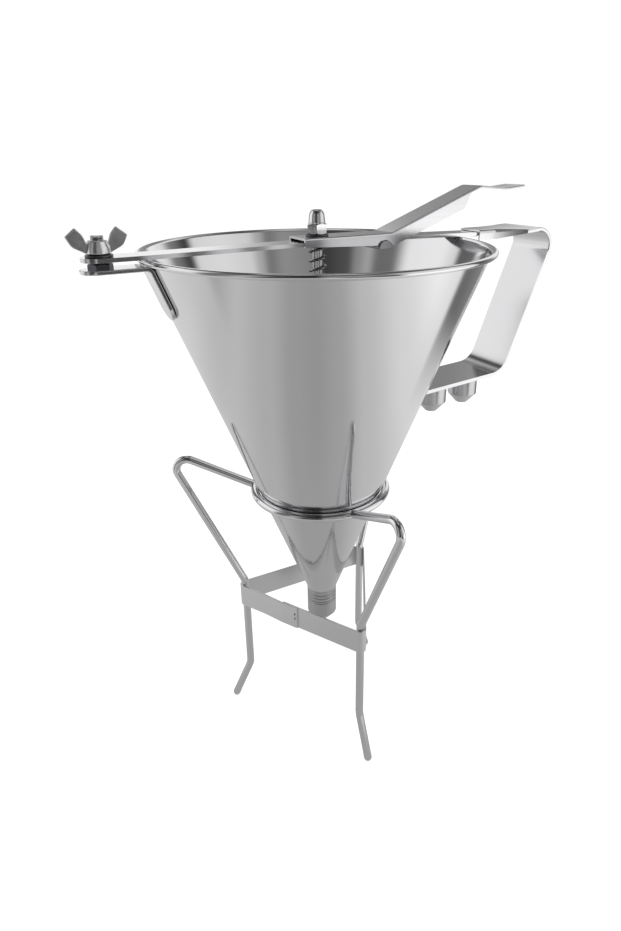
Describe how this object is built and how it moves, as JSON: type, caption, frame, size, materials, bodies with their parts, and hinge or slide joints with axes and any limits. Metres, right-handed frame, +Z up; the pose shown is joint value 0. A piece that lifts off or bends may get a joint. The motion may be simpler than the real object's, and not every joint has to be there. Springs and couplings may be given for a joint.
{
  "type": "batter dispenser funnel with stand",
  "caption": "Steel batter funnel with a lever-lifted valve rod, strap handle and screw-on nozzles, standing in a three-legged wire stand.",
  "frame": {"origin": "on the table plane, under the funnel's axis", "axes": "+Z up along the funnel's axis, +X from the axis to the handle"},
  "size_m": [0.2888, 0.19, 0.3423],
  "materials": {
    "mirror_steel": "mirror-polished stainless steel sheet",
    "wire_steel": "polished stainless steel wire",
    "strip_steel": "polished stainless steel strip with a soft grain",
    "turned_steel": "satin stainless steel with fine turning lines",
    "fastener_steel": "dull plated steel",
    "cast_steel": "polished cast stainless steel",
    "spring_steel": "drawn spring wire",
    "seal_rubber": "soft dark rubber"
  },
  "bodies": {
    "stand": {"stand_ring": "wire_steel", "stand_leg_left": "wire_steel", "stand_leg_front": "wire_steel", "stand_leg_back": "wire_steel", "stand_band": "strip_steel"},
    "funnel": {"funnel_cone": "mirror_steel", "rim_wire": "wire_steel", "spout_ferrule": "turned_steel", "handle_strap": "strip_steel", "spare_boss_inner": "turned_steel", "spare_boss_outer": "turned_steel", "crossbar": "strip_steel", "fulcrum_bar": "turned_steel", "clamp_bracket": "strip_steel", "clamp_stud": "fastener_steel", "base_nut": "fastener_steel", "wing_washer": "fastener_steel", "valve_spring": "spring_steel"},
    "valve": {"valve_rod": "turned_steel", "valve_plug": "turned_steel", "valve_seal": "seal_rubber", "spring_collar": "turned_steel", "collar_pin": "turned_steel", "rod_washer": "fastener_steel", "cap_nut": "mirror_steel"},
    "lever": {"press_lever": "strip_steel"},
    "wing": {"wing_nut": "cast_steel"},
    "nozzle": {"nozzle_cap": "turned_steel"},
    "spare_inner": {"spare_cap_inner": "turned_steel"},
    "spare_outer": {"spare_cap_outer": "turned_steel"}
  },
  "joints": [
    {"name": "funnel_lift", "type": "slide", "parent": "stand", "child": "funnel", "axis": [0, 0, 1], "range_m": [0, 0.12]},
    {"name": "valve_lift", "type": "slide", "parent": "funnel", "child": "valve", "axis": [0, 0, 1], "range_m": [0, 0.0063], "stiffness_N_per_m": 1500, "springref_m": -0.004, "deforming": ["valve_spring"]},
    {"name": "lever_press", "type": "hinge", "parent": "funnel", "child": "lever", "pos_m": [0.038, 0, 0.31077], "axis": [0, 1, 0], "range_deg": [0, 8]},
    {"name": "wing_turn", "type": "hinge", "parent": "funnel", "child": "wing", "pos_m": [-0.1129, 0, 0.317], "axis": [0, 0, 1], "continuous": true},
    {"name": "nozzle_pull", "type": "slide", "parent": "funnel", "child": "nozzle", "axis": [0, 0, -1], "range_m": [0, 0.02]},
    {"name": "spare_inner_pull", "type": "slide", "parent": "funnel", "child": "spare_inner", "axis": [0, 0, -1], "range_m": [0, 0.02]},
    {"name": "spare_outer_pull", "type": "slide", "parent": "funnel", "child": "spare_outer", "axis": [0, 0, -1], "range_m": [0, 0.02]}
  ],
  "couplings": [
    {"joint": "lever_press", "follows": "valve_lift", "rad_per_m": 22}
  ]
}
